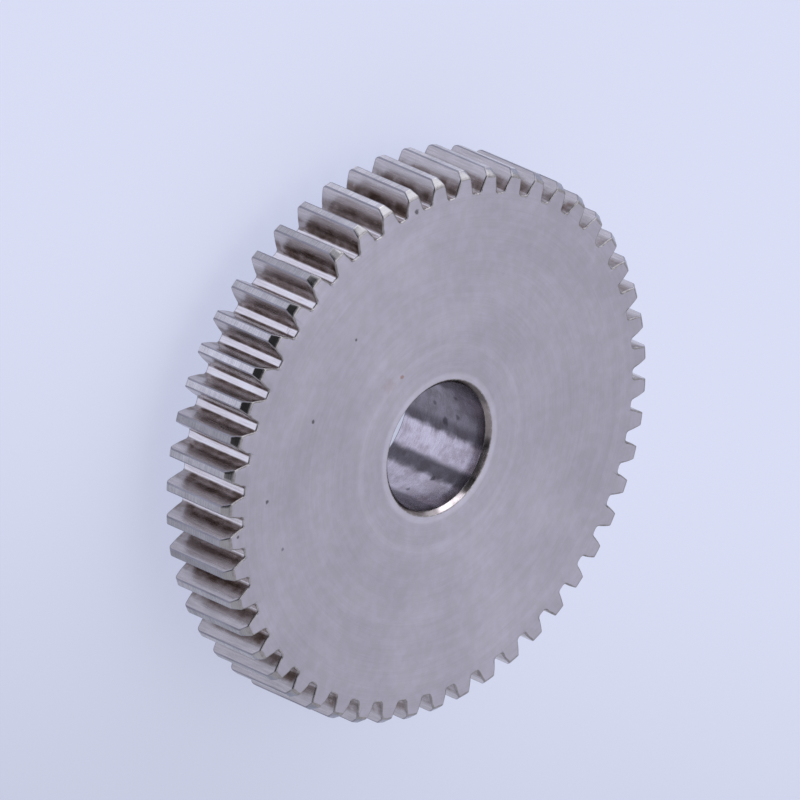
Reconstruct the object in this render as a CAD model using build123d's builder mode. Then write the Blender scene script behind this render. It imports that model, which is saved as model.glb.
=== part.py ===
from build123d import *
import math
import os

# A straight-toothed spur gear with a plain bore and a short hub boss on its back face.
# It lies flat: the axis is +Z, the end of the hub rests at Z = 0 and the plain front face
# looks up. The X axis passes through the middle of a tooth gap. Lengths in millimetres.

# Teeth: an involute system, its heights given in modules
module = 1.0
tooth_count = 50
pressure_angle = 20.0  # degrees
addendum_factor = 1.0  # height of a tooth above the pitch circle
dedendum_factor = 1.157  # depth of a gap below the pitch circle
root_fillet_factor = 0.3  # radius where a flank runs into the bottom of a gap
tooth_thinning = 0.02  # how much narrower than half the pitch each tooth is cut, for backlash

# Toothed disc
face_width = 8.0
front_chamfer_width = 0.75  # along the axis, at the front ends of the teeth
front_chamfer_depth = 0.6  # towards the axis
back_chamfer = 0.45

# Hub boss
hub_diameter = 25.0
hub_length = 3.0
hub_chamfer = 0.5

# Bore
bore_diameter = 12.0
bore_chamfer = 0.4

# Derived sizes
pitch_radius = module * tooth_count / 2
tip_radius = pitch_radius + addendum_factor * module
root_radius = pitch_radius - dedendum_factor * module
base_radius = pitch_radius * math.cos(math.radians(pressure_angle))
cutter_radius = tip_radius + module / 4  # the gap outline passes the tips, so it cuts right through
gap_width = math.pi * module / 2 + tooth_thinning  # along the pitch circle
bore_radius = bore_diameter / 2
bore_mouth_radius = bore_radius + bore_chamfer
hub_radius = hub_diameter / 2
overall_length = hub_length + face_width
flank_steps = 5


def involute(angle):
    """Return the involute function of an angle in radians."""
    return math.tan(angle) - angle


def gap_half_angle(radius):
    """Return half the angle, in radians, that a tooth gap spans at a radius."""
    flank_angle = math.acos(min(1.0, base_radius / radius))
    at_pitch_circle = gap_width / 2 / pitch_radius
    return at_pitch_circle + involute(flank_angle) - involute(math.radians(pressure_angle))


def flank_point(step):
    """Return the point at one step up the flank, from the root circle to past the tips."""
    radius = root_radius + (cutter_radius - root_radius) * step / flank_steps
    angle = gap_half_angle(radius)
    return radius * math.cos(angle), radius * math.sin(angle)


# The room for both fillets at the bottom of a gap, between flanks that lean outwards
root_half_width = root_radius * math.sin(gap_half_angle(root_radius))
root_fillet = min(root_fillet_factor * module, 0.95 * root_half_width)

# One tooth gap: two involute flanks, the root arc and its fillets
with BuildSketch() as tooth_gap:
    with BuildLine():
        flank = Spline(*[flank_point(step) for step in range(flank_steps + 1)])
        other_flank = mirror(flank, about=Plane.XZ)
        ThreePointArc(flank @ 0, (root_radius, 0), other_flank @ 0)
        Line(flank @ 1, other_flank @ 1)
    make_face()
    fillet(tooth_gap.vertices().sort_by(Axis.X)[:2], radius=root_fillet)

with BuildPart() as spur_gear:
    # The turned blank: half of its section, round the axis
    with BuildSketch(Plane.XZ):
        with BuildLine():
            Polyline(
                (bore_mouth_radius, 0),
                (hub_radius - hub_chamfer, 0),
                (hub_radius, hub_chamfer),
                (hub_radius, hub_length),
                (tip_radius - back_chamfer, hub_length),
                (tip_radius, hub_length + back_chamfer),
                (tip_radius, overall_length - front_chamfer_width),
                (tip_radius - front_chamfer_depth, overall_length),
                (bore_mouth_radius, overall_length),
                (bore_radius, overall_length - bore_chamfer),
                (bore_radius, bore_chamfer),
                close=True,
            )
        make_face()
    revolve(axis=Axis.Z)

    # The teeth: gaps cut straight through the disc
    with BuildSketch(Plane.XY.offset(hub_length)):
        with PolarLocations(0, tooth_count):
            add(tooth_gap.sketch)
    extrude(amount=face_width, mode=Mode.SUBTRACT)

spur_gear.part.label = "spur_gear"

os.makedirs("parts", exist_ok=True)
export_step(spur_gear.part, "parts/spur_gear.step")
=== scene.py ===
import logging
import math
from dataclasses import dataclass, field
from enum import Enum

import bpy
from mathutils import Matrix, Vector, noise


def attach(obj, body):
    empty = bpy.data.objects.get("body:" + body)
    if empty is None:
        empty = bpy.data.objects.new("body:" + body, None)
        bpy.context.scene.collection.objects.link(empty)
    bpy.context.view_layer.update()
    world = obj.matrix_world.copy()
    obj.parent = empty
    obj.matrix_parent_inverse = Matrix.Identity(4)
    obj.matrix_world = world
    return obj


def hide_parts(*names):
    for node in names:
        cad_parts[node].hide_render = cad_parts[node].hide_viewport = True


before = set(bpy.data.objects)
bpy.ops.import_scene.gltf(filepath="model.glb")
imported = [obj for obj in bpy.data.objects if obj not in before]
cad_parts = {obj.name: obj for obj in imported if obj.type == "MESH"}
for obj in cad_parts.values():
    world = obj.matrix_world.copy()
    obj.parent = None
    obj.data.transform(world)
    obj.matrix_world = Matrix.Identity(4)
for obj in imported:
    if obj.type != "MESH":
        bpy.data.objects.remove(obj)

# A bare steel spur gear lying flat on its hub, dressed over its CAD solid. Sizes are in
# millimetres and turned into Blender's metres where meshes, lamps and the camera are made.

MM = 0.001

log = logging.getLogger("spur_gear")

Rgb = tuple[float, float, float]
Ring = list[int]

SEARCH_ROUNDS = 40
EDGE_STEPS = (0.0, 0.08, 0.3, 0.62, 1.0)


class Zone(Enum):
    """The surfaces of the gear that were cut by different tools, in the order of their slots."""

    FACE = 0
    LAND = 1
    FLANK = 2
    CHAMFER = 3
    EDGE = 4
    BORE = 5
    HUB = 6


@dataclass(frozen=True)
class ToothForm:
    """The outline of one tooth gap and of the tooth halves beside it, in the gear's plane."""

    module: float = 1.0
    count: int = 50
    pressure_angle: float = 20.0
    addendum: float = 1.0
    dedendum: float = 1.157
    thinning: float = 0.02
    root_fillet: float = 0.3
    tip_round: float = 0.1
    root_steps: int = 2
    fillet_steps: int = 3
    flank_steps: int = 7
    round_steps: int = 2
    land_steps: int = 2

    @property
    def pitch_radius(self) -> float:
        """The radius of the pitch circle."""
        return self.module * self.count / 2

    @property
    def tip_radius(self) -> float:
        """The radius over the teeth."""
        return self.pitch_radius + self.addendum * self.module

    @property
    def root_radius(self) -> float:
        """The radius at the bottom of the gaps."""
        return self.pitch_radius - self.dedendum * self.module

    @property
    def base_radius(self) -> float:
        """The radius of the circle that the involute unwinds from."""
        return self.pitch_radius * math.cos(math.radians(self.pressure_angle))

    @property
    def half_pitch(self) -> float:
        """The angle from the middle of a gap to the middle of a tooth, in radians."""
        return math.pi / self.count

    @property
    def steps(self) -> int:
        """How many segments the outline has from the middle of a gap to the middle of a tooth."""
        return (self.root_steps + self.fillet_steps + self.flank_steps
                + self.round_steps + self.land_steps)

    def half_gap(self, radius: float, inset: float = 0.0) -> float:
        """Give half the angle that a gap spans.

        Args:
            radius: Distance from the axis.
            inset: How far the flank is moved into the metal.

        Returns:
            The angle in radians from the middle of the gap to the flank.
        """
        def involute(angle: float) -> float:
            """The involute function."""
            return math.tan(angle) - angle

        at_pitch = (math.pi * self.module / 2 + self.thinning) / 2 / self.pitch_radius
        reach = math.acos(min(1.0, self.base_radius / radius))
        return (at_pitch + involute(reach) - involute(math.radians(self.pressure_angle))
                + inset / self.base_radius)

    def flank_point(self, radius: float, inset: float) -> Vector:
        """Give the point of the flank at a radius, with the gap's middle along X."""
        angle = self.half_gap(radius, inset)
        return Vector((radius * math.cos(angle), radius * math.sin(angle)))

    def fillet_span(self, inset: float) -> tuple[float, float, Vector, float]:
        """Seat the root fillet between the root circle and the flank.

        Args:
            inset: How far the outline is moved into the metal.

        Returns:
            The angle where the fillet leaves the root circle, the radius where it meets the
            flank, its centre and its own radius.
        """
        root, size = self.root_radius - inset, self.root_fillet + inset

        def nearest(centre: Vector) -> tuple[float, float]:
            """Find the flank's radius nearest to a point, and the distance to it.

            Args:
                centre: The point.

            Returns:
                The radius on the flank and the distance.
            """
            low, high = root, self.pitch_radius
            for _ in range(SEARCH_ROUNDS):
                a, b = low + (high - low) / 3, high - (high - low) / 3
                if ((self.flank_point(a, inset) - centre).length
                        < (self.flank_point(b, inset) - centre).length):
                    high = b
                else:
                    low = a
            return low, (self.flank_point(low, inset) - centre).length

        low, high = 0.0, self.half_gap(root, inset)
        for _ in range(SEARCH_ROUNDS):
            angle = (low + high) / 2
            centre = Vector((math.cos(angle), math.sin(angle))) * (root + size)
            if nearest(centre)[1] > size:
                low = angle
            else:
                high = angle
        return low, nearest(centre)[0], centre, size

    def half_outline(self, tip_radius: float, inset: float) -> list[Vector]:
        """Draw the outline from the middle of a gap to the middle of a tooth.

        Args:
            tip_radius: Radius at the top of the tooth at this height.
            inset: How far the whole outline is moved into the metal, where an edge is broken.

        Returns:
            Points in the gear's plane, one more than there are steps.
        """
        leave, meet, centre, size = self.fillet_span(inset)
        root, tip = self.root_radius - inset, tip_radius - inset
        points = [Vector((math.cos(a), math.sin(a))) * root
                  for a in (leave * i / self.root_steps for i in range(self.root_steps + 1))]
        end = self.flank_point(meet, inset)
        first, last = (points[-1] - centre).normalized(), (end - centre).normalized()
        for i in range(1, self.fillet_steps + 1):
            points.append(centre + first.slerp(last, i / self.fillet_steps) * size)
        rounding = max(self.tip_round - inset, self.tip_round / 4)
        top = tip - rounding
        for i in range(1, self.flank_steps + 1):
            points.append(self.flank_point(meet + (top - meet) * i / self.flank_steps, inset))
        corner = self.half_gap(tip, inset)
        land = corner + rounding / tip
        for i in range(1, self.round_steps + 1):
            turn = math.radians(90) * i / self.round_steps
            radius = top + rounding * math.sin(turn)
            side = self.half_gap(top, inset)
            angle = side + (land - side) * (1 - math.cos(turn))
            points.append(Vector((math.cos(angle), math.sin(angle))) * radius)
        for i in range(1, self.land_steps + 1):
            angle = land + (self.half_pitch - land) * i / self.land_steps
            points.append(Vector((math.cos(angle), math.sin(angle))) * tip)
        return points

    def outline(self, tip_radius: float, inset: float) -> list[Vector]:
        """Draw the outline round the whole gear, starting at the middle of a gap on X.

        Args:
            tip_radius: Radius at the top of the teeth at this height.
            inset: How far the outline is moved into the metal.

        Returns:
            Points in the gear's plane, counted against the clock hands.
        """
        half = self.half_outline(tip_radius, inset)
        pitch = half[:-1] + [Vector((p.x, -p.y)) @ Matrix.Rotation(-2 * self.half_pitch, 2)
                             for p in reversed(half[1:])]
        return [Matrix.Rotation(2 * self.half_pitch * k, 2) @ p
                for k in range(self.count) for p in pitch]

    def zones(self) -> list[Zone]:
        """Name the surface of each segment round one pitch, starting at the middle of a gap.

        Returns:
            One zone for each segment.
        """
        low = self.root_steps + self.fillet_steps + self.flank_steps
        half = [Zone.FLANK] * low + [Zone.EDGE] * self.round_steps + [Zone.LAND] * self.land_steps
        return half + half[::-1]


@dataclass(frozen=True)
class Nick:
    """A short groove struck across the bottom of one gap, a few steps of the outline wide."""

    gap: int
    height: float
    width: float = 0.2
    depth: float = 0.09
    reach: int = 5


@dataclass
class GearBody:
    """The gear itself: toothed rim, two faces, hub boss and bore, as one closed mesh."""

    teeth: ToothForm = field(default_factory=ToothForm)
    face_width: float = 8.0
    front_chamfer_width: float = 0.75
    front_chamfer_depth: float = 0.6
    back_chamfer: float = 0.45
    broken_edge: float = 0.16
    hub_diameter: float = 25.0
    hub_length: float = 3.0
    hub_chamfer: float = 0.5
    hub_fillet: float = 0.3
    bore_diameter: float = 12.0
    bore_chamfer: float = 0.4
    corner_round: float = 0.06
    raggedness: float = 0.5
    ragged_scale: float = 1.7
    ragged_stretch: float = 0.2
    least_wear: float = 0.4
    most_wear: float = 1.2
    along_steps: int = 8
    front_rings: tuple[float, ...] = (23.2, 22.0, 19.0, 16.0, 13.0, 10.0, 8.0, 7.0)
    back_rings: tuple[float, ...] = (23.2, 22.0, 19.0, 16.0, 14.0)
    hub_rings: tuple[float, ...] = (11.0, 9.0, 7.5)
    nicks: tuple[Nick, ...] = (Nick(5, 9.85),)
    points: list[Vector] = field(default_factory=list)
    faces: list[tuple[int, ...]] = field(default_factory=list)
    face_zones: list[Zone] = field(default_factory=list)

    @property
    def length(self) -> float:
        """The length through the bore."""
        return self.hub_length + self.face_width

    def tip_at(self, height: float) -> float:
        """Give the radius over the teeth at a height, within the chamfers at both ends.

        Args:
            height: Distance above the hub's end.

        Returns:
            The radius.
        """
        from_front = self.length - height
        drop = self.front_chamfer_depth * max(0.0, 1 - from_front / self.front_chamfer_width)
        left = max(0.0, 1 - (height - self.hub_length) / self.back_chamfer)
        rise = self.back_chamfer * (1 - math.sqrt(1 - left * left))
        return self.teeth.tip_radius - drop - rise

    def inset_at(self, height: float) -> float:
        """Give how far the broken edges take the outline in at a height.

        Args:
            height: Distance above the hub's end.

        Returns:
            The inset, nothing away from the edges.
        """
        near = min(self.length - height, height - self.hub_length)
        left = max(0.0, 1 - near / self.broken_edge)
        return self.broken_edge * (1 - math.sqrt(1 - left * left))

    def add_ring(self, points: list[Vector], height: float) -> Ring:
        """Add a ring of points at a height and return their numbers.

        Args:
            points: The ring in the gear's plane.
            height: Distance above the hub's end.

        Returns:
            The numbers of the points.
        """
        start = len(self.points)
        self.points.extend(Vector((p.x, p.y, height)) for p in points)
        return list(range(start, len(self.points)))

    def circle(self, radius: float, height: float, count: int) -> Ring:
        """Add a circle about the axis and return its numbers."""
        return self.add_ring([Vector((math.cos(a), math.sin(a))) * radius
                              for a in (math.tau * i / count for i in range(count))], height)

    def join(self, lower: Ring, upper: Ring, zones: list[Zone]) -> None:
        """Skin between two rings of equal count, the first on the right of the second.

        Args:
            lower: The ring met first when walking with the outside on the right.
            upper: The next ring.
            zones: The surface of each segment, repeated round the ring.
        """
        count = len(lower)
        for i in range(count):
            j = (i + 1) % count
            self.faces.append((lower[i], lower[j], upper[j], upper[i]))
            self.face_zones.append(zones[i % len(zones)])

    def thin_out(self, fine: Ring, coarse: Ring, zone: Zone, outward: bool) -> None:
        """Join a ring of many points to one of fewer with fans, on a flat face.

        Args:
            fine: The ring of many points.
            coarse: A ring whose count divides the other's.
            zone: The surface that the fans belong to.
            outward: True if the fine ring comes first in the skin's order.
        """
        share = len(fine) // len(coarse)
        for i, here in enumerate(coarse):
            there = coarse[(i + 1) % len(coarse)]
            row = [fine[(i * share + k) % len(fine)] for k in range(share + 1)]
            middle = share // 2
            fans = [(row[k], row[k + 1], here) for k in range(middle)]
            fans.append((row[middle], there, here))
            fans += [(row[k], row[k + 1], there) for k in range(middle, share)]
            for fan in fans:
                self.faces.append(fan if outward else fan[::-1])
                self.face_zones.append(zone)

    def heights(self) -> list[float]:
        """List the heights of the rim's rings, close together where its edges are rounded.

        Returns:
            The heights from the back face to the front one.
        """
        edge = [self.broken_edge * s for s in EDGE_STEPS]
        back = [self.hub_length + e for e in edge]
        front = [self.length - e for e in reversed(edge)]
        back_corner = self.hub_length + self.back_chamfer
        front_corner = self.length - self.front_chamfer_width
        soft = self.corner_round
        low, high = back_corner + soft, front_corner - soft
        along = [low + (high - low) * i / self.along_steps for i in range(self.along_steps + 1)]
        struck = [nick.height + nick.width / 2 * s for nick in self.nicks for s in (-1, 0, 1)]
        bevel = [self.hub_length + self.back_chamfer * s for s in (0.55, 0.8)]
        return sorted(back + bevel + [back_corner - soft] + along + [front_corner + soft]
                      + front + struck)

    def worn(self, height: float) -> list[Vector]:
        """Give the outline at a height with its edges worn unevenly and its nicks struck.

        Args:
            height: Where the outline lies along the axis.

        Returns:
            The points of the outline, all within the unworn one.
        """
        tip, inset = self.tip_at(height), self.inset_at(height)
        outline = self.teeth.outline(tip, inset)
        if inset:
            sharp = self.teeth.outline(tip, 0.0)
            for i, (whole, cut) in enumerate(zip(sharp, outline)):
                share = noise.noise(Vector((whole.x, whole.y, height * self.ragged_stretch))
                                    * self.ragged_scale)
                worn_by = max(self.least_wear, 1 + self.raggedness * share)
                outline[i] = whole.lerp(cut, min(self.most_wear, worn_by))
        pitch = 2 * self.teeth.steps
        for nick in self.nicks:
            depth = nick.depth if abs(height - nick.height) < nick.width / 4 else 0.0
            for i in range(nick.gap * pitch - nick.reach, nick.gap * pitch + nick.reach + 1):
                point = outline[i % len(outline)]
                outline[i % len(outline)] = point - point.normalized() * depth
        return outline

    def rim(self) -> tuple[Ring, Ring]:
        """Skin the toothed rim and return its rings on the back face and on the front face.

        Returns:
            The first and the last ring.
        """
        zones = self.teeth.zones()
        rings = []
        for height in self.heights():
            rings.append((height, self.add_ring(self.worn(height), height)))
        low = self.hub_length + self.broken_edge
        high = self.length - self.broken_edge
        front_corner = self.length - self.front_chamfer_width
        for (z0, lower), (z1, upper) in zip(rings, rings[1:]):
            middle = (z0 + z1) / 2
            kinds = list(zones)
            if middle < low or middle > high:
                kinds = [Zone.EDGE] * len(zones)
            elif middle > front_corner:
                kinds = [Zone.CHAMFER if zone is Zone.LAND else zone for zone in zones]
            self.join(lower, upper, kinds)
        return rings[0][1], rings[-1][1]

    def turned(self, edge: Ring, profile: list[tuple[float, float, Zone]],
               upward: bool) -> Ring:
        """Skin a turned surface inwards from one of the rim's two end rings.

        Args:
            edge: The rim's ring to start from.
            profile: Radius, height and the surface that leads to each circle, in order.
            upward: True for the front of the gear, False for its back.

        Returns:
            The last circle.
        """
        count = len(edge) // 4
        ring = self.circle(profile[0][0], profile[0][1], count)
        self.thin_out(edge, ring, profile[0][2], upward)
        for radius, height, zone in profile[1:]:
            following = self.circle(radius, height, count)
            self.join(*((ring, following) if upward else (following, ring)), [zone])
            ring = following
        return ring

    def front_profile(self) -> list[tuple[float, float, Zone]]:
        """List the circles over the front face and down the bore.

        Returns:
            Radius, height and the surface that leads to each circle.
        """
        bore = self.bore_diameter / 2
        mouth, top = bore + self.bore_chamfer, self.length
        soft = self.corner_round
        circles = [(r, top, Zone.FACE) for r in self.front_rings]
        circles += [(mouth + soft, top, Zone.FACE),
                    (mouth + soft * 0.3, top - soft * 0.12, Zone.EDGE),
                    (mouth - soft * 0.4, top - soft * 0.6, Zone.EDGE),
                    (bore + soft * 0.5, top - self.bore_chamfer + soft * 0.5, Zone.BORE),
                    (bore, top - self.bore_chamfer - soft, Zone.EDGE)]
        deep, shallow = self.bore_chamfer + soft, top - self.bore_chamfer - soft
        circles += [(bore, shallow + (deep - shallow) * i / self.along_steps, Zone.BORE)
                    for i in range(1, self.along_steps + 1)]
        circles += [(bore + soft * 0.5, self.bore_chamfer - soft * 0.5, Zone.EDGE),
                    (mouth - soft * 0.4, soft * 0.6, Zone.CHAMFER),
                    (mouth + soft * 0.3, soft * 0.12, Zone.EDGE)]
        return circles

    def back_profile(self) -> list[tuple[float, float, Zone]]:
        """List the circles over the back face, down the hub boss and over its end.

        Returns:
            Radius, height and the surface that leads to each circle.
        """
        hub, base = self.hub_diameter / 2, self.hub_length
        fillet, soft = self.hub_fillet, self.corner_round
        circles = [(r, base, Zone.FACE) for r in self.back_rings]
        for i in range(5):
            turn = math.radians(90) * i / 4
            circles.append((hub + fillet * (1 - math.sin(turn)),
                            base - fillet * (1 - math.cos(turn)), Zone.FACE))
        chamfer = self.hub_chamfer
        circles += [(hub, chamfer + soft, Zone.HUB),
                    (hub - soft * 0.5, chamfer - soft * 0.5, Zone.EDGE),
                    (hub - chamfer + soft * 0.5, soft * 0.5, Zone.CHAMFER),
                    (hub - chamfer - soft, 0.0, Zone.EDGE)]
        mouth = self.bore_diameter / 2 + self.bore_chamfer
        circles += [(r, 0.0, Zone.FACE) for r in (*self.hub_rings, mouth + soft)]
        return circles

    def build(self) -> bpy.types.Object:
        """Skin the whole gear as one closed mesh.

        Returns:
            The gear as an object, in metres, with each face given its surface's slot number.
        """
        back, front = self.rim()
        front_end = self.turned(front, self.front_profile(), True)
        back_end = self.turned(back, self.back_profile(), False)
        self.join(front_end, back_end, [Zone.EDGE])
        mesh = bpy.data.meshes.new("gear")
        mesh.from_pydata([p * MM for p in self.points], [], self.faces)
        mesh.polygons.foreach_set("material_index", [zone.value for zone in self.face_zones])
        mesh.validate()
        mesh.shade_smooth()
        gear = bpy.data.objects.new("gear", mesh)
        bpy.context.scene.collection.objects.link(gear)
        weighting = gear.modifiers.new("flat faces stay flat", "WEIGHTED_NORMAL")
        weighting.weight = 80
        return gear


@dataclass
class NodeGraph:
    """A material's nodes, with one short method for each kind that the finishes use."""

    material: bpy.types.Material

    def add(self, kind: str, **settings: object) -> bpy.types.Node:
        """Add a node of a kind and set its properties.

        Args:
            kind: The node's type.
            settings: Its properties by name.

        Returns:
            The node.
        """
        node = self.material.node_tree.nodes.new(kind)
        for name, value in settings.items():
            setattr(node, name, value)
        return node

    def feed(self, socket: bpy.types.NodeSocket, value: object) -> None:
        """Link an output to a socket, or set a plain value on it.

        Args:
            socket: The input to fill.
            value: An output, or a plain value.
        """
        if isinstance(value, bpy.types.NodeSocket):
            self.material.node_tree.links.new(value, socket)
        else:
            socket.default_value = value

    def math(self, operation: str, *values: object) -> bpy.types.NodeSocket:
        """Do arithmetic on up to three values and return the result.

        Args:
            operation: Which sum the node does.
            values: Outputs or numbers, in the order of its inputs.

        Returns:
            The result.
        """
        node = self.add("ShaderNodeMath", operation=operation)
        for socket, value in zip(node.inputs, values):
            self.feed(socket, value)
        return node.outputs[0]

    def vector(self, x: object, y: object, z: object) -> bpy.types.NodeSocket:
        """Join three values into a vector.

        Args:
            x: The first part.
            y: The second part.
            z: The third part.

        Returns:
            The vector.
        """
        node = self.add("ShaderNodeCombineXYZ")
        for socket, value in zip(node.inputs, (x, y, z)):
            self.feed(socket, value)
        return node.outputs[0]

    def noise(self, at: object, scale: float, detail: float = 2.0,
              rough: float = 0.5) -> bpy.types.NodeSocket:
        """Give smooth noise from 0 to 1 at a place.

        Args:
            at: The place.
            scale: How fine the noise is.
            detail: How many finer layers it has.
            rough: How strong those layers are.

        Returns:
            The noise.
        """
        node = self.add("ShaderNodeTexNoise")
        self.feed(node.inputs["Vector"], at)
        self.feed(node.inputs["Scale"], scale)
        self.feed(node.inputs["Detail"], detail)
        self.feed(node.inputs["Roughness"], rough)
        return node.outputs["Fac"]

    def spread(self, value: object, low: float, high: float, to_low: float = 0.0,
               to_high: float = 1.0, smooth: bool = True) -> bpy.types.NodeSocket:
        """Map a value from one range to another, held at its ends.

        Args:
            value: What is mapped.
            low: Start of its range.
            high: End of its range.
            to_low: What the start becomes.
            to_high: What the end becomes.
            smooth: True to ease in and out.

        Returns:
            The mapped value.
        """
        node = self.add("ShaderNodeMapRange", clamp=True,
                        interpolation_type="SMOOTHSTEP" if smooth else "LINEAR")
        for socket, number in zip(node.inputs, (value, low, high, to_low, to_high)):
            self.feed(socket, number)
        return node.outputs[0]

    def blend(self, share: object, first: object, second: object) -> bpy.types.NodeSocket:
        """Mix two colours by a share from 0 to 1.

        Args:
            share: How much of the second colour there is.
            first: A colour or an output.
            second: A colour or an output.

        Returns:
            The mixed colour.
        """
        node = self.add("ShaderNodeMix", data_type="RGBA")
        self.feed(node.inputs[0], share)
        for socket, colour in ((node.inputs[6], first), (node.inputs[7], second)):
            linked = isinstance(colour, bpy.types.NodeSocket)
            self.feed(socket, colour if linked else (*colour, 1))
        return node.outputs[2]

    def place(self) -> "Place":
        """Give where the point is: its position, and its distance, direction and angle.

        Returns:
            The place, in millimetres and degrees.
        """
        coordinates = self.add("ShaderNodeTexCoord").outputs["Object"]
        scaled = self.add("ShaderNodeVectorMath", operation="SCALE")
        self.feed(scaled.inputs[0], coordinates)
        self.feed(scaled.inputs["Scale"], 1 / MM)
        parts = self.add("ShaderNodeSeparateXYZ")
        self.feed(parts.inputs[0], scaled.outputs[0])
        x, y, z = parts.outputs
        radius = self.math("SQRT", self.math("ADD", self.math("MULTIPLY", x, x),
                                             self.math("MULTIPLY", y, y)))
        turn = self.math("MULTIPLY", self.math("ARCTAN2", y, x), 180 / math.pi)
        turn = self.math("MODULO", self.math("ADD", turn, 360.0), 360.0)
        return Place(scaled.outputs[0], z, radius, self.math("DIVIDE", x, radius),
                     self.math("DIVIDE", y, radius), turn)


# How many degrees one tooth and its gap take round the gear.
PITCH_ANGLE = 360 / ToothForm.count


@dataclass(frozen=True)
class Spot:
    """A pit, speck or faint stain, placed by its distance from the axis, angle and height."""

    radius: float
    angle: float
    height: float
    size: float
    strength: float = 0.75
    colour: Rgb = (0.06, 0.055, 0.06)

    @property
    def centre(self) -> Vector:
        """Where the spot is, in millimetres."""
        turn = math.radians(self.angle)
        return Vector((self.radius * math.cos(turn), self.radius * math.sin(turn), self.height))


@dataclass
class Place:
    """Where a point of the gear is, as sockets in millimetres and degrees."""

    everywhere: bpy.types.NodeSocket
    height: bpy.types.NodeSocket
    radius: bpy.types.NodeSocket
    along: bpy.types.NodeSocket
    across: bpy.types.NodeSocket
    turn: bpy.types.NodeSocket


@dataclass
class Wear:
    """What a finish works out at each place: tone with any painted light in it, oil film, gloss and the
    height of its marks.
    """

    tone: bpy.types.NodeSocket
    film: bpy.types.NodeSocket
    roughness: bpy.types.NodeSocket
    relief: bpy.types.NodeSocket


@dataclass(frozen=True)
class SteelFinish:
    """Bare steel as one tool left it. Each kind of finish says how it is worn, and some paint shade, a
    highlight or reflections into its tone.
    """

    name: str
    colour: Rgb
    film_colour: Rgb
    film: float
    roughness: float
    roughness_spread: float
    marks_per_mm: float
    mark_contrast: float
    mark_depth: float
    anisotropy: float = 0.0
    spots: tuple[Spot, ...] = ()

    def lay(self, graph: NodeGraph, place: Place) -> bpy.types.NodeSocket:
        """Give noise drawn out along this finish's tool marks: here rings on a flat face.

        Args:
            graph: The material's nodes.
            place: Where the point is.

        Returns:
            The height of the marks, from 0 to 1.
        """
        fine = graph.vector(graph.math("MULTIPLY", place.along, 3.0),
                            graph.math("MULTIPLY", place.across, 3.0),
                            graph.math("MULTIPLY", place.radius, self.marks_per_mm))
        return graph.noise(fine, 1.0, 3.0, 0.65)

    def wear(self, graph: NodeGraph, place: Place) -> Wear:
        """Work out the wear of this finish.

        Args:
            graph: The material's nodes.
            place: Where the point is.

        Returns:
            The wear, from the tool marks, a soft cloud and a patchy film.
        """
        marks = self.lay(graph, place)
        cloud = graph.noise(place.everywhere, 0.16, 4.0, 0.6)
        patch = graph.noise(place.everywhere, 0.9, 3.0, 0.55)
        tone = graph.math("MULTIPLY", graph.spread(marks, 0.3, 0.7, 1 - self.mark_contrast,
                                                   1 + self.mark_contrast, False),
                          graph.spread(cloud, 0.3, 0.7, 0.94, 1.05))
        film = graph.math("MULTIPLY", graph.spread(patch, 0.35, 0.65), self.film)
        roughness = graph.spread(marks, 0.25, 0.75, self.roughness - self.roughness_spread,
                                 self.roughness + self.roughness_spread, False)
        return Wear(tone, film, roughness, marks)

    def material(self) -> bpy.types.Material:
        """Build the finish as a node material.

        Returns:
            A material whose colour, roughness and bump all come from the wear, any painted light and the
            spots.
        """
        material = bpy.data.materials.new(self.name)
        material.use_nodes = True
        graph = NodeGraph(material)
        shader = material.node_tree.nodes["Principled BSDF"]
        place = graph.place()
        wear = self.wear(graph, place)
        tinted = graph.add("ShaderNodeVectorMath", operation="SCALE")
        graph.feed(tinted.inputs[0], graph.blend(wear.film, self.colour, self.film_colour))
        graph.feed(tinted.inputs["Scale"], wear.tone)
        colour = tinted.outputs[0]
        ragged = graph.noise(place.everywhere, 3.0, 2.0)
        for spot in self.spots:
            away = graph.add("ShaderNodeVectorMath", operation="DISTANCE")
            graph.feed(away.inputs[0], place.everywhere)
            away.inputs[1].default_value = spot.centre
            reach = graph.math("MULTIPLY", away.outputs["Value"],
                               graph.spread(ragged, 0.3, 0.7, 0.75, 1.35))
            share = graph.spread(reach, spot.size * 0.25, spot.size * 0.6, spot.strength, 0.0)
            colour = graph.blend(share, colour, spot.colour)
        graph.feed(shader.inputs["Base Color"], colour)
        graph.feed(shader.inputs["Roughness"], wear.roughness)
        bump = graph.add("ShaderNodeBump")
        bump.inputs["Strength"].default_value = 1.0
        bump.inputs["Distance"].default_value = self.mark_depth * MM
        graph.feed(bump.inputs["Height"], wear.relief)
        graph.feed(shader.inputs["Normal"], bump.outputs[0])
        shader.inputs["Metallic"].default_value = 1.0
        if self.anisotropy:
            shader.inputs["Anisotropic"].default_value = self.anisotropy
            shader.inputs["Anisotropic Rotation"].default_value = 0.25
            tangent = graph.add("ShaderNodeTangent", direction_type="RADIAL", axis="Z")
            graph.feed(shader.inputs["Tangent"], tangent.outputs[0])
        return material


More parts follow.
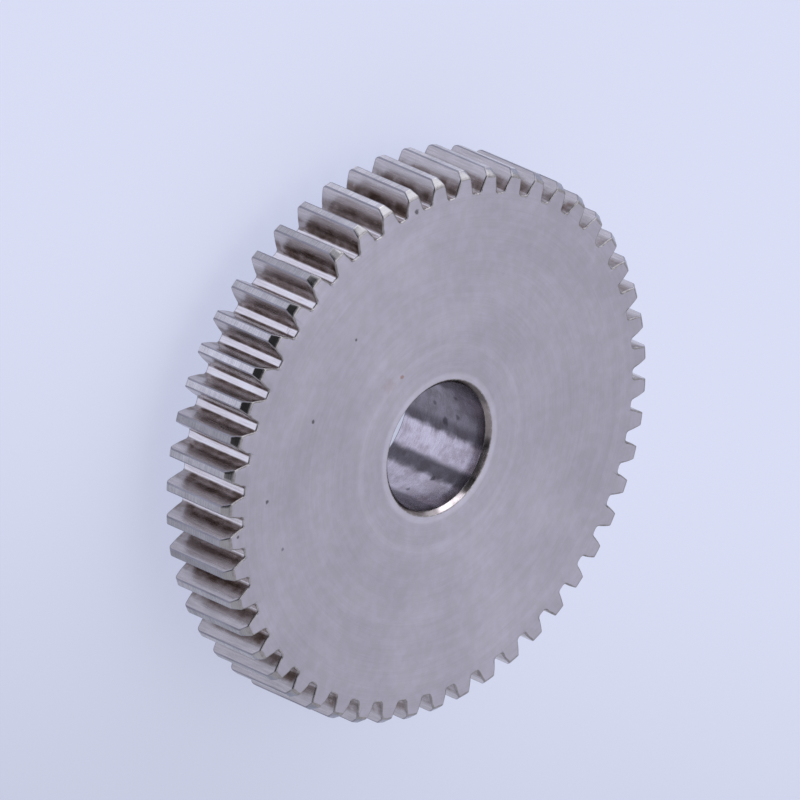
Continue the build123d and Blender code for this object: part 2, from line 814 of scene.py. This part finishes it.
@dataclass(frozen=True)
class TurnedFace(SteelFinish):
    """A faced surface: rings about the axis, brighter ones where the tool dwelt near the bore."""

    bright_rings: tuple[float, ...] = (6.75, 9.6)
    ring_gains: tuple[float, ...] = (0.2, 0.07)

    def wear(self, graph: NodeGraph, place: Place) -> Wear:
        """Add broad rings and the bright ones to the common wear.

        Args:
            graph: The material's nodes.
            place: Where the point is.

        Returns:
            The wear.
        """
        wear = super().wear(graph, place)
        broad = graph.vector(graph.math("MULTIPLY", place.along, 0.8),
                             graph.math("MULTIPLY", place.across, 0.8),
                             graph.math("MULTIPLY", place.radius, 1.4))
        wear.tone = graph.math("MULTIPLY", wear.tone,
                               graph.spread(graph.noise(broad, 1.0, 2.0), 0.3, 0.7, 0.98, 1.02))
        for strength, ring in zip(self.ring_gains, self.bright_rings):
            off = graph.math("ABSOLUTE", graph.math("SUBTRACT", place.radius, ring))
            wear.tone = graph.math("MULTIPLY", wear.tone,
                                   graph.spread(off, 0.1, 0.5, 1 + strength, 1.0))
        return wear


@dataclass(frozen=True)
class TurnedRim(SteelFinish):
    """A surface turned along the axis: fine hatch round it, and its own tone on each tooth.

    The listed teeth and the side facing one azimuth get painted shade: their tops are darkened for the
    dimmer light on them.
    """

    feed: float = 0.15
    hatch: float = 0.16
    # Painted shade on the tops of the listed teeth.
    painted_shade_teeth: tuple[int, ...] = ()
    tone_spread: float = 0.0
    # Painted shade on the tooth tops that face the given azimuth.
    painted_shade_side: float = 0.0
    painted_shade_azimuth: float = 112.0
    painted_shade_reach: tuple[float, float] = (0.55, 0.85)
    painted_shade_depth: float = 0.4

    def lay(self, graph: NodeGraph, place: Place) -> bpy.types.NodeSocket:
        """Give the noise of turning marks, with the tool's feed in it as a fine regular hatch.

        Args:
            graph: The material's nodes.
            place: Where the point is.

        Returns:
            The height of the marks.
        """
        fine = graph.vector(graph.math("MULTIPLY", place.along, 6.0),
                            graph.math("MULTIPLY", place.across, 6.0),
                            graph.math("MULTIPLY", place.height, self.marks_per_mm))
        noise = graph.noise(fine, 1.0, 3.0, 0.65)
        wave = graph.math("SINE", graph.math("MULTIPLY", place.height, math.tau / self.feed))
        patchy = graph.spread(graph.noise(place.everywhere, 0.8), 0.35, 0.6, 0.0, self.hatch)
        return graph.math("ADD", noise, graph.math("MULTIPLY", wave, patchy))

    def wear(self, graph: NodeGraph, place: Place) -> Wear:
        """Give each tooth its own tone, and paint shade on the listed teeth and on one side of the gear.

        Args:
            graph: The material's nodes.
            place: Where the point is.

        Returns:
            The wear.
        """
        wear = super().wear(graph, place)
        tooth = graph.math("FLOOR", graph.math("DIVIDE", place.turn, PITCH_ANGLE))
        chance = graph.add("ShaderNodeTexWhiteNoise", noise_dimensions="1D")
        graph.feed(chance.inputs["W"], tooth)
        tone = graph.spread(chance.outputs["Value"], 0.0, 1.0, 1 - self.tone_spread,
                            1 + self.tone_spread / 2, False)
        # Painted shade: the listed teeth get a darker tone.
        for number in self.painted_shade_teeth:
            same = graph.math("COMPARE", tooth, float(number), 0.5)
            tone = graph.math("SUBTRACT", tone, graph.math("MULTIPLY", same, self.painted_shade_depth))
        # Painted shade: the tooth tops facing one side of the gear get a darker tone.
        if self.painted_shade_side:
            middle = direction(self.painted_shade_azimuth, 0.0)
            facing = graph.math("ADD", graph.math("MULTIPLY", place.along, middle.x),
                                graph.math("MULTIPLY", place.across, middle.y))
            tone = graph.math("MULTIPLY", tone,
                              graph.spread(facing, *self.painted_shade_reach, 1.0, 1 - self.painted_shade_side))
        wear.tone = graph.math("MULTIPLY", wear.tone, tone)
        return wear


@dataclass(frozen=True)
class HobbedGap(SteelFinish):
    """The flanks and the bottom of a gap: streaks along it, a painted highlight along the root and oil on
    its sides.
    """

    # Painted highlight along the root: its gain, half width, blur and where it fades.
    root_highlight: float = 1.5
    root_half: float = 0.72
    root_blur: float = 0.15
    root_fade: tuple[float, float] = (24.1, 24.3)
    film_fade: tuple[float, float] = (24.7, 25.4)

    def lay(self, graph: NodeGraph, place: Place) -> bpy.types.NodeSocket:
        """Give noise drawn out along the axis.

        Args:
            graph: The material's nodes.
            place: Where the point is.

        Returns:
            The height of the marks.
        """
        stretched = graph.add("ShaderNodeVectorMath", operation="MULTIPLY")
        graph.feed(stretched.inputs[0], place.everywhere)
        stretched.inputs[1].default_value = (self.marks_per_mm, self.marks_per_mm,
                                             self.marks_per_mm / 12)
        return graph.noise(stretched.outputs[0], 1.0, 3.0, 0.65)

    def wear(self, graph: NodeGraph, place: Place) -> Wear:
        """Keep the film to the lower flanks and paint a highlight along the root.

        Args:
            graph: The material's nodes.
            place: Where the point is.

        Returns:
            The wear.
        """
        wear = super().wear(graph, place)
        from_middle = graph.math("ABSOLUTE", graph.math("SUBTRACT", graph.math(
            "MODULO", graph.math("ADD", place.turn, PITCH_ANGLE / 2), PITCH_ANGLE), PITCH_ANGLE / 2))
        root = graph.math("MULTIPLY", graph.spread(from_middle, self.root_half - self.root_blur,
                                                   self.root_half + self.root_blur, 1.0, 0.0),
                          graph.spread(place.radius, *self.root_fade, 1.0, 0.0))
        low = graph.math("MULTIPLY", graph.math("SUBTRACT", 1.0, root),
                         graph.spread(place.radius, *self.film_fade, 1.0, 0.08))
        turned = graph.math("ADD", place.turn, PITCH_ANGLE / 2)
        gap = graph.math("FLOOR", graph.math("DIVIDE", turned, PITCH_ANGLE))
        chance = graph.add("ShaderNodeTexWhiteNoise", noise_dimensions="1D")
        graph.feed(chance.inputs["W"], gap)
        heavy = graph.spread(chance.outputs["Value"], 0.0, 1.0, 0.7, 1.0, False)
        soaked = graph.math("ADD", graph.math("MULTIPLY", wear.film, 0.6), self.film * 0.4)
        wear.film = graph.math("MULTIPLY", graph.math("MULTIPLY", soaked, low), heavy)
        # Painted highlight: the root strip gets a lighter tone.
        wear.tone = graph.math("MULTIPLY", wear.tone,
                               graph.math("ADD", graph.math("MULTIPLY", root,
                                                            self.root_highlight - 1), 1.0))
        return wear


@dataclass(frozen=True)
class ReflectionBand:
    """A strip of the bore along the axis, between two angles, with a painted reflection that makes it
    darker or lighter.
    """

    start: float
    end: float
    tone: float


@dataclass(frozen=True)
class ReamedBore(SteelFinish):
    """The bore, with dark and bright strips painted along it for what its wall mirrors."""

    bands: tuple[ReflectionBand, ...] = ()
    band_blur: float = 3.5
    wander: float = 1.6

    def lay(self, graph: NodeGraph, place: Place) -> bpy.types.NodeSocket:
        """Give the noise of fine marks round the bore.

        Args:
            graph: The material's nodes.
            place: Where the point is.

        Returns:
            The height of the marks.
        """
        fine = graph.vector(graph.math("MULTIPLY", place.along, 7.0),
                            graph.math("MULTIPLY", place.across, 7.0),
                            graph.math("MULTIPLY", place.height, self.marks_per_mm))
        return graph.noise(fine, 1.0, 3.0, 0.65)

    def wear(self, graph: NodeGraph, place: Place) -> Wear:
        """Lay the painted reflection bands over the common wear, with uneven edges.

        Args:
            graph: The material's nodes.
            place: Where the point is.

        Returns:
            The wear.
        """
        wear = super().wear(graph, place)
        wander = graph.spread(graph.noise(place.everywhere, 0.9, 3.0), 0.3, 0.7, -self.wander, self.wander,
                              False)
        turn = graph.math("ADD", place.turn, wander)
        for band in self.bands:
            blur = self.band_blur
            inside = graph.math("MULTIPLY", graph.spread(turn, band.start - blur, band.start + blur),
                                graph.spread(turn, band.end - blur, band.end + blur, 1.0, 0.0))
            # Painted reflection: inside a band the bore's tone is darker or lighter.
            wear.tone = graph.math("MULTIPLY", wear.tone,
                                   graph.math("ADD", graph.math("MULTIPLY", inside, band.tone - 1),
                                              1.0))
        return wear


BROWN_FILM: Rgb = (0.19, 0.135, 0.105)
RUST: Rgb = (0.34, 0.16, 0.09)
FACE_SPOTS = (
    Spot(24.0, -4.0, 11.0, 0.55), Spot(24.5, 82.0, 11.0, 0.32), Spot(21.0, 76.0, 11.0, 0.42),
    Spot(19.5, 91.0, 11.0, 0.36, 0.5), Spot(17.0, 54.0, 11.0, 0.4), Spot(17.0, 26.0, 11.0, 0.34),
    Spot(9.5, 18.0, 11.0, 0.5, 0.6, RUST), Spot(10.0, 27.0, 11.0, 1.6, 0.14, RUST),
)
GAP_SPOTS = (
    Spot(24.0, 36.0, 9.85, 0.35, 0.85), Spot(24.5, 57.0, 6.0, 0.8, 0.3, RUST),
    Spot(24.5, 21.0, 5.0, 0.9, 0.3, RUST), Spot(24.5, 14.0, 5.0, 0.9, 0.25, RUST),
)
BORE_SPOTS = (
    Spot(6.0, 250.0, 5.5, 0.75), Spot(6.0, 258.0, 7.0, 0.5, 0.6), Spot(6.0, 276.0, 7.0, 0.5, 0.6),
    Spot(6.0, 262.0, 4.0, 0.5, 0.5), Spot(6.0, 178.0, 6.0, 0.5, 0.6), Spot(6.0, 199.0, 7.0, 0.6),
)
# Painted reflections in the bore: start angle, end angle and tone gain of each strip.
BORE_REFLECTION_BANDS = (
    ReflectionBand(285.0, 330.0, 0.45), ReflectionBand(240.0, 250.0, 0.6), ReflectionBand(215.0, 240.0, 2.6),
    ReflectionBand(200.0, 215.0, 0.55), ReflectionBand(170.0, 200.0, 2.2), ReflectionBand(140.0, 170.0, 0.8),
)

FINISHES = {
    Zone.FACE: TurnedFace("steel_turned_face", (0.525, 0.508, 0.625), (0.465, 0.44, 0.51), 0.4,
                          0.33, 0.05, 9.0, 0.045, 0.0008, 0.7, FACE_SPOTS),
    # The tooth tops carry painted shade on three teeth and on one side of the gear.
    Zone.LAND: TurnedRim("steel_turned_tip", (0.80, 0.765, 0.75), (0.55, 0.52, 0.52), 0.4,
                         0.28, 0.08, 7.0, 0.2, 0.005, 0.75, painted_shade_teeth=(2, 3, 8),
                         tone_spread=0.25, painted_shade_side=0.35),
    Zone.FLANK: HobbedGap("steel_hobbed_flank", (0.63, 0.585, 0.57), BROWN_FILM, 0.95,
                          0.24, 0.06, 5.0, 0.16, 0.004, spots=GAP_SPOTS),
    Zone.CHAMFER: TurnedRim("steel_turned_chamfer", (0.42, 0.415, 0.45), (0.30, 0.29, 0.31), 0.3,
                            0.2, 0.05, 9.0, 0.08, 0.002, tone_spread=0.15),
    # The broken edges get a weaker painted highlight where the root strip falls on them.
    Zone.EDGE: HobbedGap("steel_broken_edge", (0.36, 0.345, 0.37), (0.20, 0.18, 0.18), 0.5,
                         0.34, 0.08, 4.0, 0.25, 0.004, root_highlight=1.2),
    Zone.BORE: ReamedBore("steel_reamed_bore", (0.35, 0.32, 0.345), (0.19, 0.155, 0.155), 0.5,
                          0.26, 0.05, 6.0, 0.16, 0.0008, 0.3, BORE_SPOTS, BORE_REFLECTION_BANDS),
    Zone.HUB: TurnedRim("steel_turned_hub", (0.55, 0.54, 0.60), (0.42, 0.40, 0.42), 0.5,
                        0.33, 0.06, 6.0, 0.12, 0.003, 0.5),
}


@dataclass
class Lamp:
    """A soft square lamp, placed by its direction from the gear."""

    name: str
    azimuth: float
    elevation: float
    distance: float
    size: float
    power: float
    colour: Rgb = (1.0, 1.0, 1.0)

    def build(self) -> bpy.types.Object:
        """Make the lamp, turned to the gear.

        Returns:
            The lamp.
        """
        data = bpy.data.lights.new(self.name, "AREA")
        data.size = self.size * MM
        data.energy = self.power
        data.color = self.colour
        lamp = bpy.data.objects.new(self.name, data)
        towards = direction(self.azimuth, self.elevation)
        lamp.location = towards * self.distance * MM
        lamp.rotation_euler = towards.to_track_quat("Z", "Y").to_euler()
        bpy.context.scene.collection.objects.link(lamp)
        return lamp


def direction(azimuth: float, elevation: float) -> Vector:
    """Give the unit vector at an azimuth, counted from +X to +Y, and an elevation, in degrees.

    Args:
        azimuth: Turn about the axis.
        elevation: Rise above the floor.

    Returns:
        The vector.
    """
    turn, rise = math.radians(azimuth), math.radians(elevation)
    return Vector((math.cos(turn) * math.cos(rise), math.sin(turn) * math.cos(rise),
                   math.sin(rise)))


@dataclass
class Viewpoint:
    """A camera far off with a narrow angle, looking down on the gear and turned about its line."""

    azimuth: float = 46.04
    elevation: float = 41.68
    roll: float = -113.64
    distance: float = 2600.0
    view_width: float = 71.115
    aim: tuple[float, float, float] = (6.965, 3.594, 11.0)

    def build(self) -> bpy.types.Object:
        """Make the camera and set it as the scene's.

        Returns:
            The camera.
        """
        data = bpy.data.cameras.new("viewpoint")
        data.sensor_width = 8.0
        data.angle = 2 * math.atan(self.view_width / 2 / self.distance)
        data.clip_end = 100.0
        camera = bpy.data.objects.new("viewpoint", data)
        back = direction(self.azimuth, self.elevation)
        upright = back.to_track_quat("Z", "Y").to_matrix()
        camera.matrix_world = (
            Matrix.Translation(Vector(self.aim) * MM + back * self.distance * MM)
            @ (Matrix.Rotation(-math.radians(self.roll), 3, back) @ upright).to_4x4()
        )
        bpy.context.scene.collection.objects.link(camera)
        bpy.context.scene.camera = camera
        return camera


@dataclass
class Studio:
    """The pale floor, the soft light round it and the view."""

    floor_size: float = 3000.0
    floor_colour: Rgb = (0.76, 0.80, 1.0)
    floor_shade: float = 0.78
    shade_azimuth: float = 140.0
    shade_from: float = -10.0
    shade_to: float = 75.0
    floor_glow: float = 0.65
    sky_colour: Rgb = (0.97, 0.97, 1.0)
    sky_light: float = 0.70
    sky_dark: float = 0.04
    falls_from: float = 0.70
    falls_to: float = 0.85
    dark_azimuth: float = 47.0
    dark_elevation: float = 33.0
    lamps: tuple[Lamp, ...] = (
        Lamp("key", -43.0, 17.0, 500.0, 520.0, 0.9),
        Lamp("top", -50.0, 72.0, 600.0, 400.0, 0.5),
    )
    view: Viewpoint = field(default_factory=Viewpoint)

    def floor(self) -> bpy.types.Object:
        """Lay the floor, pale to the camera and in the metal, and shaded to one side.

        Returns:
            The floor, staged as part of the studio and not of the gear.
        """
        half = self.floor_size / 2 * MM
        mesh = bpy.data.meshes.new("floor")
        mesh.from_pydata([(-half, -half, 0), (half, -half, 0), (half, half, 0), (-half, half, 0)],
                         [], [(0, 1, 2, 3)])
        floor = bpy.data.objects.new("floor", mesh)
        bpy.context.scene.collection.objects.link(floor)
        material = bpy.data.materials.new("floor_pale")
        material.use_nodes = True
        graph = NodeGraph(material)
        nodes = material.node_tree.nodes
        nodes.remove(nodes["Principled BSDF"])
        matt, glow = graph.add("ShaderNodeBsdfDiffuse"), graph.add("ShaderNodeEmission")
        slope = graph.add("ShaderNodeVectorMath", operation="DOT_PRODUCT")
        graph.feed(slope.inputs[0], graph.add("ShaderNodeTexCoord").outputs["Object"])
        slope.inputs[1].default_value = direction(self.shade_azimuth, 0.0)
        share = graph.spread(slope.outputs["Value"], self.shade_from * MM, self.shade_to * MM)
        shaded = tuple(part * self.floor_shade for part in self.floor_colour)
        colour = graph.blend(share, self.floor_colour, shaded)
        graph.feed(matt.inputs["Color"], colour)
        graph.feed(glow.inputs["Color"], colour)
        path = graph.add("ShaderNodeLightPath")
        seen = graph.math("MAXIMUM", path.outputs["Is Camera Ray"],
                          graph.math("MAXIMUM", path.outputs["Is Glossy Ray"],
                                     path.outputs["Is Transmission Ray"]))
        mix = graph.add("ShaderNodeMixShader")
        graph.feed(mix.inputs[0], graph.math("MULTIPLY", seen, self.floor_glow))
        graph.feed(mix.inputs[1], matt.outputs[0])
        graph.feed(mix.inputs[2], glow.outputs[0])
        graph.feed(nodes["Material Output"].inputs["Surface"], mix.outputs[0])
        mesh.materials.append(material)
        return floor

    def sky(self) -> None:
        """Surround the gear with even light that falls off to one side."""
        world = bpy.data.worlds.new("studio")
        bpy.context.scene.world = world
        world.use_nodes = True
        tree = world.node_tree
        place = tree.nodes.new("ShaderNodeTexCoord")
        dot = tree.nodes.new("ShaderNodeVectorMath")
        dot.operation = "DOT_PRODUCT"
        dot.inputs[1].default_value = direction(self.dark_azimuth, self.dark_elevation)
        ramp = tree.nodes.new("ShaderNodeMapRange")
        ramp.interpolation_type = "SMOOTHSTEP"
        levels = (self.falls_from, self.falls_to, self.sky_light, self.sky_dark)
        for socket, number in zip(list(ramp.inputs)[1:], levels):
            socket.default_value = number
        tree.links.new(place.outputs["Generated"], dot.inputs[0])
        tree.links.new(dot.outputs["Value"], ramp.inputs[0])
        background = tree.nodes["Background"]
        background.inputs["Color"].default_value = (*self.sky_colour, 1)
        tree.links.new(ramp.outputs[0], background.inputs["Strength"])

    def build(self) -> None:
        """Set up the floor, the lamps, the surroundings and the camera."""
        self.floor()
        self.sky()
        for lamp in self.lamps:
            lamp.build()
        self.view.build()
        bpy.context.scene.view_settings.view_transform = "Standard"


def main() -> None:
    """Build the gear and its studio, and log the gear's size."""
    logging.basicConfig(level=logging.INFO, format="%(name)s: %(message)s")
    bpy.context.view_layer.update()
    body = GearBody()
    gear = body.build()
    for zone in Zone:
        gear.data.materials.append(FINISHES[zone].material())
    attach(gear, "root")
    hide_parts("spur_gear")
    spans = [round(span, 5) for span in gear.dimensions]
    log.info("gear: %d faces over %s", len(gear.data.polygons), spans)
    Studio().build()
    log.info("studio: floor, lamps and camera")


if __name__ == "__main__":
    main()
